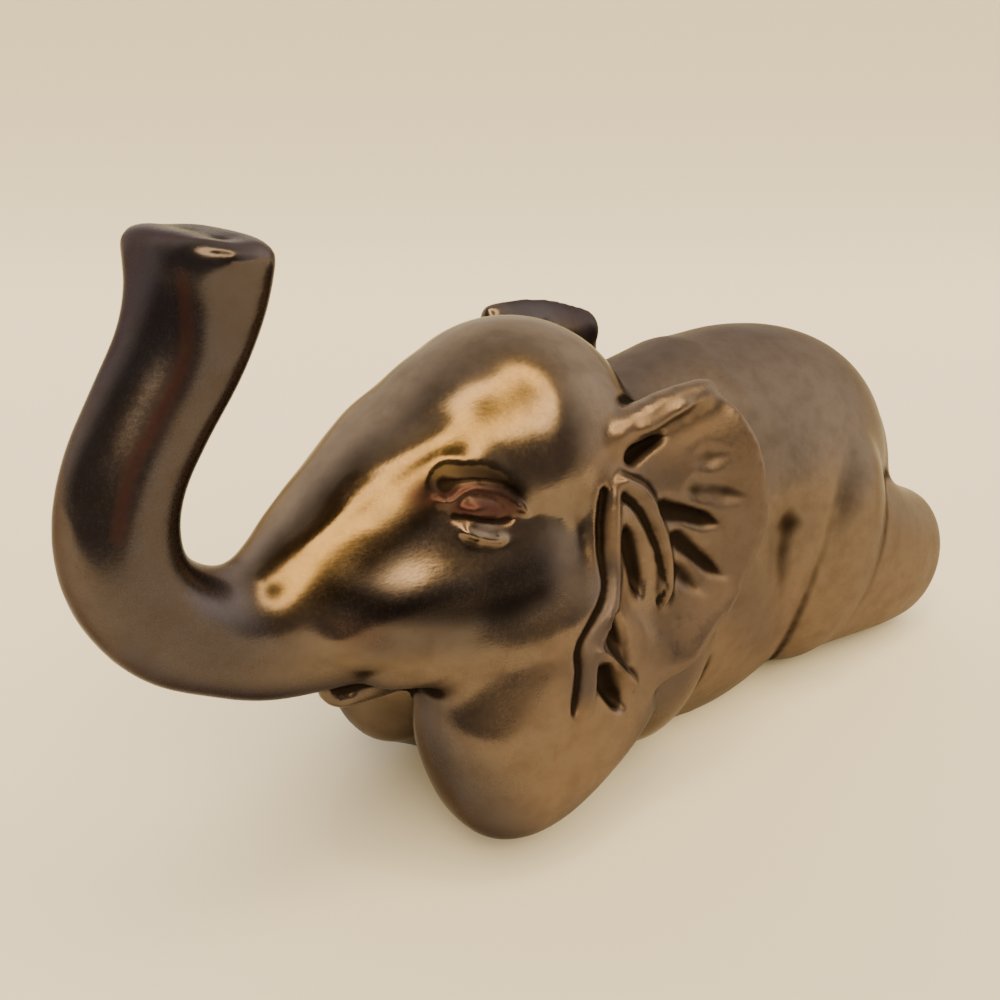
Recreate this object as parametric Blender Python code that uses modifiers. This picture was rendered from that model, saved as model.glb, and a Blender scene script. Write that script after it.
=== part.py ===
"""Lustre-glazed ceramic elephant lying on its belly with its trunk raised, slip-cast in one piece."""

import math

import bmesh
import bpy
import numpy as np
from mathutils import Euler, Matrix, Vector

# From the bend of the trunk to the hind feet, in metres. Every form is a share of this length.
FIGURE_LENGTH = 0.290
LENGTH_IN_SHARES = 290
SHARE = FIGURE_LENGTH / LENGTH_IN_SHARES

# Clay is joined on a grid of this fineness, then smoothed as a wet sponge would.
JOINING_GRID = 1.6
SPONGE_ROUNDS = 12
RUBBED_ROUNDS = 80
CARVED_SPONGE_ROUNDS = 2
FLAT_TOLERANCE = 0.0002
TRIANGLES_WANTED = 9400

EAR_THICKNESS = 5.0
EAR_BOWL = 5.0
EAR_STEPS_ACROSS = 18
EAR_STEPS_DOWN = 6
STEPS_ALONG = 5

# Stations of the body: x, y, z, half width, half height.
TORSO = [
    (-30, 0, 46, 27, 43),
    (-10, 0, 50, 33, 52),
    (12, 0, 50, 36, 57),
    (36, 0, 50, 38, 60),
    (60, 0, 54, 39.5, 55),
    (78, 0, 53, 38, 50.5),
    (93, 0, 45.5, 34, 46),
]
# Forehead to trunk tip: x, y, z, half width, half depth, squareness of the section.
FACE_AND_TRUNK = [
    (-34, 0, 90, 31, 34.5, 2),
    (-46, 0, 86.5, 30, 34.5, 2.1),
    (-60, 0, 81.5, 27, 31.5, 2.2),
    (-74, 0, 77.5, 23, 28.5, 2.3),
    (-90, 0, 72.3, 18.5, 23.3, 2.3),
    (-106, 0, 69.8, 14.4, 17.6, 2.15),
    (-117.5, 0, 72.1, 12.8, 13.8, 2),
    (-127.5, 0, 78.2, 12.4, 12.7, 2.1),
    (-134.3, 0, 88, 11.9, 11.6, 2.2),
    (-135.6, 0, 99, 11.6, 11.2, 2.2),
    (-132.5, 0, 110, 11.4, 10.9, 2.2),
    (-126, 0, 120.5, 11.7, 10.8, 2.3),
    (-118.8, 0, 131, 12.8, 11, 2.4),
    (-114.6, 0, 141, 15.2, 11, 2.6),
    (-113.3, 0, 149.8, 18, 10.6, 3),
]
FORELEG = [
    (-35, -21, 51, 20.5, 28, 2.3),
    (-42, -22, 42, 21.3, 34, 2.4),
    (-45, -22.5, 33, 20.9, 35.5, 2.6),
    (-46, -23.5, 24, 19.5, 31, 2.5),
    (-43.5, -21.5, 15, 15, 23.5, 2.2),
    (-41.5, -19, 8.5, 11, 16.5, 2.1),
]
# The far foreleg is tucked in a little further.
FAR_FORELEG_SHIFT = (5, 0, 0)
HIND_LEG = [
    (82, -23, 36, 19, 34),
    (104, -25.5, 28, 19, 27),
    (121.5, -26, 23, 17.5, 24),
]
JOWL = [
    (-42, -26.5, 63, 15, 13),
    (-56, -24.5, 62.5, 14.5, 12.5),
    (-69, -19.5, 61, 12.5, 11),
    (-82, -11, 58.5, 10, 9),
]
TUSK_SHEATH = [
    (-50, -21, 67, 12.5, 14),
    (-62, -20.3, 69, 12.6, 17),
    (-74, -17.6, 70.5, 11.4, 17.5),
    (-84, -14.8, 70.8, 10.5, 15.5),
    (-93, -11.8, 70, 8.5, 11.5),
    (-100, -9.5, 69.5, 6.5, 8),
]
FACE_RIDGE = [
    (-48, -13, 104, 9, 9),
    (-61, -13, 102.2, 9, 9),
    (-74, -11.3, 97.8, 8.2, 8.2),
    (-86, -8.8, 91.3, 7, 7),
    (-98, -6.8, 85.2, 5.5, 5.5),
]
LOWER_LIP = [
    (-50, 0, 52, 13, 10),
    (-74, 0, 49, 10, 8),
    (-90, 0, 46.5, 6.5, 4.5),
]
TAIL = [
    (104, 3, 70, 4, 4),
    (113, 4, 54, 3.5, 3.5),
    (117, 5, 38, 4.5, 4.5),
]
# Centre, radii and turn in degrees of the rounded masses.
SKULL = ((-36, 0, 91), (34, 32, 34), (0, 0, 0))
CHEEK = ((-50, -14, 71), (28, 19.8, 24), (0, -8, 0))
BROW = ((-58.5, -15.3, 94), (19, 11, 13), (0, 30, 0))
EYEBALL = ((-67, -22.5, 91.5), (5.5, 5, 5), (0, 0, 0))
TUSK_BUD = ((-95, -15.2, 69.5), (8, 5, 5), (0, 10, 0))
THIGH = ((71, -17, 45), (30, 28, 44), (0, 8, 0))
SHOULDER = ((-8, -20, 44), (26, 20, 38), (0, 0, 0))

# Where two forms run together, the clay is rubbed smooth along these lines: places, half width.
RUBBED_LINES = [
    ([(-36, -35, 72), (-46, -36, 71), (-57, -36, 70), (-68, -33, 68)], 13),
    ([(-34, -43, 44), (-26, -43.5, 40), (-18, -43, 36)], 8),
    ([(-50, -32, 79), (-58, -31, 80), (-68, -27, 83), (-78, -22.5, 85), (-88, -19, 82),
      (-98, -15.5, 77)], 10),
    ([(-52, -20, 109), (-64, -20, 105), (-74, -17, 102), (-84, -14, 97)], 10),
]
# The ear runs from its root on the head to its rim, both from the top down: x, y, z.
EAR_ROOT = [
    (-27, -27, 102),
    (-35, -31, 93),
    (-40, -34, 80),
    (-41, -35, 67),
    (-44, -36, 55),
    (-49, -40, 45),
    (-54, -41, 36),
]
EAR_RIM = [
    (-15, -29, 104),
    (0, -34, 107),
    (7, -42, 98),
    (10.5, -45.5, 83),
    (10, -45.5, 67),
    (-4, -45.5, 50),
    (-18, -44, 38),
]
TOP_FOLD = [
    (-29, -29, 101, 4, 4),
    (-16, -30.5, 105, 4.2, 4.2),
    (-2, -33.5, 107, 4, 4),
]
# The far ear was pulled out longer and higher than the near one, and leans in at its top.
FAR_EAR_FOOT = (-52, 37, 36)
FAR_EAR_STRETCH = (1.42, 1, 1.46)
FAR_EAR_LEAN = -0.08
FAR_EAR_SLOPE = -0.42

# Tooled lines: places along the line, half width, height (a groove is below nought).
# Each fades over this share of its length at both ends, down to this share of its height.
LINE_FADE = 0.2
END_HEIGHT = 0.25
EAR_LINES = [
    ([(-33, -32, 95), (-35.5, -36, 75), (-42, -38, 62), (-48, -40, 54), (-52.5, -42.3, 40)], 3.2, 1.2),
    ([(-38.9, -35.7, 77), (-39.9, -38, 70), (-46.5, -40.4, 63.9), (-50.8, -40.1, 58.5),
      (-52, -41.7, 52.7), (-55.4, -42.7, 41)], 2.6, -2.4),
    ([(-32, -33.6, 90), (-27.5, -34.4, 85.5), (-24, -36, 78.5), (-21, -37, 70), (-20, -39.4, 55.4)], 3.4, 2.4),
    ([(-46.5, -41, 56.5), (-36.5, -42, 45.8), (-32, -42, 41)], 3.0, 1.6),
    ([(-31, -35.7, 79), (-29, -36.8, 66), (-27, -37, 61.5)], 4.2, -4.0),
    ([(-39.6, -40.7, 60), (-37, -41.9, 50)], 3.8, -3.6),
    ([(-45, -42.1, 51.5), (-42.2, -42.9, 45.7), (-37.5, -43.2, 38.5)], 3.8, -3.6),
    ([(-26.5, -31.5, 95.5), (-21, -31.4, 96), (-15, -32.3, 98), (-8.5, -34.5, 100)], 4.0, -3.2),
    ([(-18, -32, 97), (-12, -35, 94), (-6.5, -38, 92.5), (0, -42, 92.5)], 3.2, -1.6),
    ([(-18, -33.5, 92), (-11, -37.8, 85.5), (-3.5, -41, 83.5), (5, -45, 81)], 3.2, -1.8),
    ([(-21, -35.6, 82), (-14, -37.5, 80), (-7, -40, 77.5), (4, -44.5, 72)], 3.6, -2.4),
    ([(-20, -36.4, 77.5), (-12.5, -38.6, 71), (-7, -40.7, 67), (2, -45, 63)], 3.4, -2.2),
    ([(-17.7, -37.5, 70.5), (-12.5, -39.3, 63), (-9.5, -42, 57)], 3.2, -1.8),
]
BODY_LINES = [
    ([(-75, -19.5, 96), (-72.5, -22.7, 98), (-68, -24.7, 97.7), (-62.5, -25.7, 95),
      (-57, -27.4, 89.5)], 2.0, 1.2),
    ([(-73.5, -23, 90), (-70, -24.4, 87), (-65.5, -25.5, 85), (-59, -27, 85.5)], 2.2, 1.2),
    ([(-77, -19.5, 97.6), (-73, -21.5, 98.8), (-67.5, -24.3, 98.4), (-62, -25.9, 95.8),
      (-57, -27.4, 90.5)], 4.4, -3.0),
    ([(42.5, -35.8, 72), (39.5, -37.3, 63), (37.7, -38, 51.5), (38.5, -37.4, 38.5),
      (42.5, -34, 22.5)], 12.0, -2.4),
]
MOUTH_LINES = [
    ([(-91, -5, 48.4), (-86, -10, 49), (-80, -17, 50), (-72, -26, 51.5), (-63, -35, 53),
      (-56, -38.5, 54)], 2.4, -2.2),
    ([(-71, -29, 51.8), (-66.5, -33, 52), (-62, -36, 52.5)], 3.0, -2.0),
]
# A line on the side of the figure is laid on the outermost clay within this reach of it.
LAYING_REACH = 1.5
LAYING_DEPTH = 2.0

GLAZE_COLOUR = (0.16, 0.115, 0.08)
GLAZE_METAL = 0.9
GLAZE_ROUGHNESS = 0.28

TO_FAR_SIDE = Matrix.Diagonal((1, -1, 1, 1))


def clear_scene():
    for old in list(bpy.data.objects):
        bpy.data.objects.remove(old)


def new_object(name, mesh):
    data = bpy.data.meshes.new(name)
    mesh.to_mesh(data)
    mesh.free()
    obj = bpy.data.objects.new(name, data)
    bpy.context.scene.collection.objects.link(obj)
    return obj


def settle(obj):
    """Make what the modifiers show the object's own mesh."""
    view = bpy.context.evaluated_depsgraph_get()
    data = bpy.data.meshes.new_from_object(obj.evaluated_get(view))
    obj.modifiers.clear()
    obj.data = data
    return obj


def between(a, b, c, d, t):
    """Catmull-Rom curve from b to c."""
    straight = 2 * b + (c - a) * t
    return 0.5 * (straight + (2 * a - 5 * b + 4 * c - d) * t * t + (3 * b - a - 3 * c + d) * t ** 3)


def smooth_run(stations, steps):
    rows = [Vector(s) for s in stations]
    rows = [2 * rows[0] - rows[1], *rows, 2 * rows[-1] - rows[-2]]
    run = []
    for i in range(1, len(rows) - 2):
        for k in range(steps):
            run.append(between(*rows[i - 1:i + 3], k / steps))
    run.append(rows[-2])
    return run


def boxed(value, square):
    """Push a cosine or sine out towards a rounded box. A squareness of 2 leaves it an oval."""
    return math.copysign(abs(value) ** (2 / square), value)


def round_end(ring, way, fullness, rings=5):
    """Rings that close a form with a rounded end."""
    place, tangent, across, deep, square = ring
    reach = min(across, deep) * fullness
    for k in range(1, rings + 1):
        turn = math.pi / 2 * k / (rings + 0.35)
        fall = math.cos(turn)
        centre = place + way * tangent * reach * math.sin(turn)
        yield centre, tangent, across * fall, deep * fall, square


def loft(name, stations, fullness=1.0, sides=32):
    """Closed form through oval rings, with round ends."""
    run = smooth_run(stations, STEPS_ALONG)
    places = [Vector(s[:3]) for s in run]
    last = len(places) - 1
    rings = []
    for i, station in enumerate(run):
        tangent = (places[min(i + 1, last)] - places[max(i - 1, 0)]).normalized()
        square = station[5] if len(station) > 5 else 2
        rings.append((places[i], tangent, station[3], station[4], square))
    start = list(round_end(rings[0], -1, fullness))[::-1]
    rings = start + rings + list(round_end(rings[-1], 1, fullness))
    mesh = bmesh.new()
    loops = []
    for place, tangent, across, deep, square in rings:
        side = Vector((0, 1, 0))
        side = (side - side.dot(tangent) * tangent).normalized()
        rise = side.cross(tangent)
        loop = []
        for k in range(sides):
            turn = 2 * math.pi * k / sides
            c, s = boxed(math.cos(turn), square), boxed(math.sin(turn), square)
            loop.append(mesh.verts.new((place + side * c * across + rise * s * deep) * SHARE))
        loops.append(loop)
    for one, two in zip(loops, loops[1:]):
        for k in range(sides):
            n = (k + 1) % sides
            mesh.faces.new((one[k], one[n], two[n], two[k]))
    mesh.faces.new(loops[0][::-1])
    mesh.faces.new(loops[-1])
    bmesh.ops.recalc_face_normals(mesh, faces=mesh.faces)
    return new_object(name, mesh)


def rounded_mass(name, form):
    centre, radii, turn = form
    mesh = bmesh.new()
    bmesh.ops.create_uvsphere(mesh, u_segments=48, v_segments=24, radius=1)
    turned = Euler([math.radians(a) for a in turn]).to_matrix().to_4x4()
    sized = Matrix.Diagonal((*[r * SHARE for r in radii], 1))
    mesh.transform(Matrix.Translation(Vector(centre) * SHARE) @ turned @ sized)
    return new_object(name, mesh)


def ear_sheet():
    """A leaf of clay from the root to the rim, hollowed a little like a bowl."""
    root = smooth_run(EAR_ROOT, EAR_STEPS_DOWN)
    rim = smooth_run(EAR_RIM, EAR_STEPS_DOWN)
    mesh = bmesh.new()
    rows = []
    for inner, outer in zip(root, rim):
        row = []
        for k in range(EAR_STEPS_ACROSS + 1):
            share = k / EAR_STEPS_ACROSS
            spot = inner.lerp(outer, share)
            spot.y += EAR_BOWL * math.sin(math.pi * share)
            row.append(mesh.verts.new(spot * SHARE))
        rows.append(row)
    for one, two in zip(rows, rows[1:]):
        for k in range(EAR_STEPS_ACROSS):
            mesh.faces.new((one[k], one[k + 1], two[k + 1], two[k]))
    leaf = new_object("ear", mesh)
    wall = leaf.modifiers.new("thickness", "SOLIDIFY")
    wall.thickness = EAR_THICKNESS * SHARE
    wall.offset = 0
    return settle(leaf)


def mirrored(obj, then=None):
    """A copy on the far side, which a further matrix may alter."""
    copy = obj.copy()
    copy.data = obj.data.copy()
    copy.data.transform((then or Matrix.Identity(4)) @ TO_FAR_SIDE)
    copy.data.flip_normals()
    bpy.context.scene.collection.objects.link(copy)
    return copy


def pulled_out():
    """Stretch the far ear from its foot and lean its top towards the neck."""
    foot = Matrix.Translation(Vector(FAR_EAR_FOOT) * SHARE)
    stretch = Matrix.Diagonal((*FAR_EAR_STRETCH, 1))
    lean = Matrix.Identity(4)
    lean[1][2] = FAR_EAR_LEAN
    lean[2][0] = FAR_EAR_SLOPE
    return foot @ lean @ stretch @ foot.inverted()


def body_forms():
    middle = [
        loft("torso", TORSO, fullness=0.72),
        loft("face_and_trunk", FACE_AND_TRUNK, fullness=0.35),
        rounded_mass("skull", SKULL),
        loft("lower_lip", LOWER_LIP),
        loft("tail", TAIL),
    ]
    foreleg = loft("foreleg", FORELEG, fullness=0.8)
    far_foreleg = mirrored(foreleg, Matrix.Translation(Vector(FAR_FORELEG_SHIFT) * SHARE))
    sides = [
        loft("hind_leg", HIND_LEG),
        loft("jowl", JOWL),
        loft("tusk_sheath", TUSK_SHEATH),
        loft("face_ridge", FACE_RIDGE),
        rounded_mass("cheek", CHEEK),
        rounded_mass("brow", BROW),
        rounded_mass("eyeball", EYEBALL),
        rounded_mass("tusk_bud", TUSK_BUD),
        rounded_mass("thigh", THIGH),
        rounded_mass("shoulder", SHOULDER),
    ]
    ear = [ear_sheet(), loft("top_fold", TOP_FOLD)]
    far_ear = [mirrored(form, pulled_out()) for form in ear]
    far_sides = [mirrored(form) for form in sides]
    return middle + [foreleg, far_foreleg] + sides + far_sides + ear + far_ear


def distance_along(points, places):
    """Each point's distance to a bent line, and how far along the line that is, from 0 to 1."""
    nearest = np.full(len(points), np.inf)
    along = np.zeros(len(points))
    last = len(places) - 1
    for i in range(last):
        run = places[i + 1] - places[i]
        share = np.clip((points - places[i]) @ run / (run @ run), 0, 1)
        far = np.linalg.norm(points - places[i] - share[:, None] * run, axis=1)
        closer = far < nearest
        nearest[closer] = far[closer]
        along[closer] = (i + share[closer]) / last
    return nearest, along


def laid_on_clay(spots, normals, line, side):
    """Bring each place of a line out or in to the outermost clay there."""
    outward = spots[:, 1] * side
    for place in line:
        under = np.hypot(spots[:, 0] - place[0], spots[:, 2] - place[2]) < LAYING_REACH
        under &= normals[:, 1] * side > 0
        if under.any():
            skin = outward[under]
            place[1] = side * skin[skin > skin.max() - LAYING_DEPTH].mean()


def tool_line(spots, normals, places, half_width, height, laid):
    """Raise a rib or press a groove into the clay along a smooth line, fading out at its ends."""
    line = np.array([list(p) for p in smooth_run(places, STEPS_ALONG)])
    side = math.copysign(1, line[:, 1].mean())
    if laid:
        laid_on_clay(spots, normals, line, side)
    near = np.abs(spots - line.mean(axis=0)).max(axis=1) < np.ptp(line, axis=0).max() + half_width
    near &= normals[:, 1] * side > 0
    distance, along = distance_along(spots[near], line)
    bump = 0.5 * (1 + np.cos(np.pi * np.clip(distance / half_width, 0, 1)))
    fade = np.clip(np.minimum(along, 1 - along) / LINE_FADE, 0, 1) ** 0.5
    spots[near] += normals[near] * (height * bump * (END_HEIGHT + (1 - END_HEIGHT) * fade))[:, None]


def read_clay(mesh):
    """Places in shares, and normals."""
    spots = np.empty(len(mesh.vertices) * 3, np.float32)
    mesh.vertices.foreach_get("co", spots)
    normals = np.empty(len(mesh.vertices) * 3, np.float32)
    mesh.vertex_normals.foreach_get("vector", normals)
    return spots.reshape(-1, 3).astype(float) / SHARE, normals.reshape(-1, 3).astype(float)


def carve(figure):
    mesh = figure.data
    spots, normals = read_clay(mesh)
    to_shares = Matrix.Scale(1 / SHARE, 4)
    far_ear = to_shares @ pulled_out() @ to_shares.inverted() @ TO_FAR_SIDE
    tooling = ((EAR_LINES, far_ear, True), (BODY_LINES, TO_FAR_SIDE, True), (MOUTH_LINES, TO_FAR_SIDE, False))
    for lines, across, laid in tooling:
        for places, half_width, height in lines:
            tool_line(spots, normals, [Vector(p) for p in places], half_width, height, laid)
            tool_line(spots, normals, [across @ Vector(p) for p in places], half_width, height, laid)
    mesh.vertices.foreach_set("co", (spots * SHARE).astype(np.float32).ravel())
    mesh.update()


def flat_underside(figure):
    """Cut away what would lie below the table."""
    mesh = bmesh.new()
    mesh.from_mesh(figure.data)
    every = mesh.verts[:] + mesh.edges[:] + mesh.faces[:]
    cut = bmesh.ops.bisect_plane(
        mesh, geom=every, dist=FLAT_TOLERANCE, plane_co=(0, 0, 0), plane_no=(0, 0, 1), clear_inner=True)
    rim = [e for e in cut["geom_cut"] if isinstance(e, bmesh.types.BMEdge)]
    for edge in rim:
        for vert in edge.verts:
            vert.co.z = 0
    bmesh.ops.triangle_fill(mesh, edges=rim, use_beauty=True)
    bmesh.ops.recalc_face_normals(mesh, faces=mesh.faces)
    mesh.to_mesh(figure.data)
    mesh.free()


def join_clay(name, forms, grid, rounds):
    mesh = bmesh.new()
    for form in forms:
        mesh.from_mesh(form.data)
        bpy.data.objects.remove(form)
    joined = new_object(name, mesh)
    remesh = joined.modifiers.new("one_casting", "REMESH")
    remesh.mode = "VOXEL"
    remesh.voxel_size = grid * SHARE
    return smoothed(joined, rounds)


def smoothed(obj, rounds, where=""):
    sponge = obj.modifiers.new("sponge", "SMOOTH")
    sponge.factor = 0.5
    sponge.iterations = int(rounds)
    sponge.vertex_group = where
    return settle(obj)


def rubbed(figure):
    """Blend the forms that run into each other."""
    spots, _ = read_clay(figure.data)
    cover = np.zeros(len(spots))
    for places, half_width in RUBBED_LINES:
        for across in (Matrix.Identity(4), TO_FAR_SIDE):
            line = np.array([list(across @ Vector(p)) for p in smooth_run(places, STEPS_ALONG)])
            distance, _ = distance_along(spots, line)
            cover = np.maximum(cover, 0.5 * (1 + np.cos(np.pi * np.clip(distance / half_width, 0, 1))))
    group = figure.vertex_groups.new(name="rubbed")
    for index in np.nonzero(cover)[0]:
        group.add([int(index)], float(cover[index]), "REPLACE")
    return smoothed(figure, RUBBED_ROUNDS, "rubbed")


def thinned(obj):
    """Fewer, larger facets, most of them kept where the form bends."""
    fewer = obj.modifiers.new("fewer_facets", "DECIMATE")
    fewer.ratio = TRIANGLES_WANTED / sum(len(face.vertices) - 2 for face in obj.data.polygons)
    return settle(obj)


def centred(figure):
    """Put the origin under the middle of the figure's own box, on the table."""
    xs = [vert.co.x for vert in figure.data.vertices]
    ys = [vert.co.y for vert in figure.data.vertices]
    middle = Vector(((min(xs) + max(xs)) / 2, (min(ys) + max(ys)) / 2, 0))
    figure.data.transform(Matrix.Translation(-middle))


def glaze():
    material = bpy.data.materials.new("bronze_lustre_glaze")
    material.use_nodes = True
    surface = material.node_tree.nodes["Principled BSDF"]
    surface.inputs["Base Color"].default_value = (*GLAZE_COLOUR, 1)
    surface.inputs["Metallic"].default_value = GLAZE_METAL
    surface.inputs["Roughness"].default_value = GLAZE_ROUGHNESS
    return material


def main():
    clear_scene()
    figure = join_clay("elephant", body_forms(), JOINING_GRID, SPONGE_ROUNDS)
    rubbed(figure)
    carve(figure)
    smoothed(figure, CARVED_SPONGE_ROUNDS)
    thinned(figure)
    flat_underside(figure)
    centred(figure)
    figure.data.shade_smooth()
    figure.data.materials.append(glaze())
    collection = bpy.data.collections.new("ceramic_elephant")
    bpy.context.scene.collection.children.link(collection)
    collection.objects.link(figure)
    bpy.context.scene.collection.objects.unlink(figure)
    return figure


if __name__ == "__main__":
    main()
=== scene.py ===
import math

import bmesh
import bpy
import numpy as np
from mathutils import Euler, Matrix, Vector


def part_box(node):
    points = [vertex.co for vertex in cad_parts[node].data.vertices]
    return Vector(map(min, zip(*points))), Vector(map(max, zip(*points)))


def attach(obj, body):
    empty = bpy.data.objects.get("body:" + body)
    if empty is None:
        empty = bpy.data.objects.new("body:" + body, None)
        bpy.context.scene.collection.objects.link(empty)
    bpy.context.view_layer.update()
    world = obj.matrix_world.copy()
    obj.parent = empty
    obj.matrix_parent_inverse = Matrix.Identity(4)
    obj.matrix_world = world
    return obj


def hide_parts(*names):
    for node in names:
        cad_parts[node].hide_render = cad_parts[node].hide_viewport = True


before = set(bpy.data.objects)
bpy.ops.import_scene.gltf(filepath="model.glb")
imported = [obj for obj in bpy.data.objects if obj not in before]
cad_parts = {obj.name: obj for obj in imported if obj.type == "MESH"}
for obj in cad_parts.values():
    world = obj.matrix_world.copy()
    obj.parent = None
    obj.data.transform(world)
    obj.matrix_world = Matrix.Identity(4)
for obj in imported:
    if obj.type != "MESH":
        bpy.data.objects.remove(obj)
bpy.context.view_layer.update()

# The clay figure: a lying elephant, slip-cast in one piece from a smooth plaster mould.
# Body, head, trunk, legs and ears are plump forms that run into each other, so they are built
# as separate rounds of clay and then joined and sponged smooth.
FIGURE_LENGTH = 0.290
LENGTH_IN_SHARES = 290
SHARE = FIGURE_LENGTH / LENGTH_IN_SHARES
JOINING_GRID = 1.25
SPONGE_ROUNDS = 20
RUBBED_ROUNDS = 130
SPONGE_STRENGTH = 0.5
EAR_THICKNESS = 5.0
EAR_BOWL = 5.0
EAR_STEPS_ACROSS = 24
STEPS_ALONG_FORM = 8
STEPS_ALONG_RUB = 5
FORM_SIDES = 56
END_RINGS = 8
END_HOLE = 0.35
ROUND_SEGMENTS = 64
ROUND_RINGS = 32
TORSO_FULLNESS = 0.72
TRUNK_FULLNESS = 0.35
FORELEG_FULLNESS = 0.8
TO_FAR_SIDE = Matrix.Diagonal((1, -1, 1, 1))

# Stations of the body: x, y, z, half width, half height.
TORSO = [
    (-30, 0, 46, 27, 43),
    (-10, 0, 50, 33, 52),
    (12, 0, 50, 36, 57),
    (36, 0, 50, 38, 60),
    (60, 0, 54, 39.5, 55),
    (78, 0, 53, 38, 50.5),
    (93, 0, 45.5, 34, 46),
]
# Forehead to trunk tip: x, y, z, half width, half depth, squareness of the section.
FACE_AND_TRUNK = [
    (-34, 0, 90, 31, 34.5, 2),
    (-46, 0, 86.5, 30, 34.5, 2.1),
    (-60, 0, 81.5, 27, 31.5, 2.2),
    (-74, 0, 77.5, 23, 28.5, 2.3),
    (-90, 0, 72.3, 18.5, 23.3, 2.3),
    (-106, 0, 69.8, 14.4, 17.6, 2.15),
    (-117.5, 0, 72.1, 12.8, 13.8, 2),
    (-127.5, 0, 78.2, 12.4, 12.7, 2.1),
    (-134.3, 0, 88, 11.9, 11.6, 2.2),
    (-135.6, 0, 99, 11.6, 11.2, 2.2),
    (-132.5, 0, 110, 11.4, 10.9, 2.2),
    (-126, 0, 120.5, 11.7, 10.8, 2.3),
    (-118.8, 0, 131, 12.8, 11, 2.4),
    (-114.6, 0, 141, 15.2, 11, 2.6),
    (-113.3, 0, 149.8, 18, 10.6, 3),
]
FORELEG = [
    (-35, -21, 51, 20.5, 28, 2.3),
    (-42, -22, 42, 21.3, 34, 2.4),
    (-45, -22.5, 33, 20.9, 35.5, 2.6),
    (-46, -23.5, 24, 19.5, 31, 2.5),
    (-43.5, -21.5, 15, 15, 23.5, 2.2),
    (-41.5, -19, 8.5, 11, 16.5, 2.1),
]
# The far foreleg is tucked in a little further.
FAR_FORELEG_SHIFT = (5, 0, 0)
HIND_LEG = [
    (82, -23, 36, 19, 34),
    (104, -25.5, 28, 19, 27),
    (121.5, -26, 23, 17.5, 24),
]
JOWL = [
    (-42, -26.5, 63, 15, 13),
    (-56, -24.5, 62.5, 14.5, 12.5),
    (-69, -19.5, 61, 12.5, 11),
    (-82, -11, 58.5, 10, 9),
]
TUSK_SHEATH = [
    (-50, -21, 67, 12.5, 14),
    (-62, -20.3, 69, 12.6, 17),
    (-74, -17.6, 70.5, 11.4, 17.5),
    (-84, -14.8, 70.8, 10.5, 15.5),
    (-93, -11.8, 70, 8.5, 11.5),
    (-100, -9.5, 69.5, 6.5, 8),
]
FACE_RIDGE = [
    (-48, -13, 104, 9, 9),
    (-61, -13, 102.2, 9, 9),
    (-74, -11.3, 97.8, 8.2, 8.2),
    (-86, -8.8, 91.3, 7, 7),
    (-98, -6.8, 85.2, 5.5, 5.5),
]
LOWER_LIP = [
    (-50, 0, 52, 13, 10),
    (-74, 0, 49, 10, 8),
    (-90, 0, 46.5, 6.5, 4.5),
]
TAIL = [
    (104, 3, 70, 4, 4),
    (113, 4, 54, 3.5, 3.5),
    (117, 5, 38, 4.5, 4.5),
]
# Centre, radii and turn in degrees of the rounded masses.
SKULL = ((-36, 0, 91), (34, 32, 34), (0, 0, 0))
MASSES_EACH_SIDE = {
    "cheek": ((-50, -14, 71), (28, 19.8, 24), (0, -8, 0)),
    "brow": ((-58.5, -15.3, 94), (19, 11, 13), (0, 30, 0)),
    "eyeball": ((-67, -22.5, 91.5), (5.5, 5, 5), (0, 0, 0)),
    "tusk_bud": ((-95, -15.2, 69.5), (8, 5, 5), (0, 10, 0)),
    "thigh": ((71, -17, 45), (30, 28, 44), (0, 8, 0)),
    "shoulder": ((-8, -20, 44), (26, 20, 38), (0, 0, 0)),
}
# Where two forms run together, the clay is rubbed smooth along these lines: places, half width.
RUBBED_LINES = [
    ([(-36, -35, 72), (-46, -36, 71), (-57, -36, 70), (-68, -33, 68)], 13),
    ([(-34, -43, 44), (-26, -43.5, 40), (-18, -43, 36)], 8),
    ([(-36, -32, 86), (-39, -35, 78), (-41, -37, 69)], 7),
    ([(-74, -30, 52), (-69, -36, 49), (-60, -40, 46)], 9),
    ([(-50, -32, 79), (-58, -31, 80), (-68, -27, 83), (-78, -22.5, 85), (-88, -19, 82),
      (-98, -15.5, 77)], 10),
    ([(-52, -20, 109), (-64, -20, 105), (-74, -17, 102), (-84, -14, 97)], 10),
]
# The ear runs from its root on the head to its rim, both from the top down: x, y, z.
EAR_ROOT = [
    (-27, -27, 102),
    (-35, -31, 93),
    (-40, -34, 80),
    (-41, -35, 67),
    (-44, -36, 55),
    (-49, -40, 45),
    (-54, -41, 36),
]
EAR_RIM = [
    (-15, -29, 104),
    (0, -34, 107),
    (7, -42, 98),
    (10.5, -45.5, 83),
    (10, -45.5, 67),
    (-4, -45.5, 50),
    (-18, -44, 38),
]
TOP_FOLD = [
    (-29, -29, 101, 4, 4),
    (-16, -30.5, 105, 4.2, 4.2),
    (-2, -33.5, 107, 4, 4),
]
# The far ear was pulled out longer and higher than the near one, and leans in at its top.
FAR_EAR_FOOT = (-52, 37, 36)
FAR_EAR_STRETCH = (1.42, 1, 1.46)
FAR_EAR_LEAN = -0.08
FAR_EAR_SLOPE = -0.42


def new_object(name, mesh):
    data = bpy.data.meshes.new(name)
    mesh.to_mesh(data)
    mesh.free()
    obj = bpy.data.objects.new(name, data)
    bpy.context.scene.collection.objects.link(obj)
    return obj


def settle(obj):
    """Make what the modifiers show the object's own mesh."""
    view = bpy.context.evaluated_depsgraph_get()
    data = bpy.data.meshes.new_from_object(obj.evaluated_get(view))
    obj.modifiers.clear()
    obj.data = data
    return obj


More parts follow.
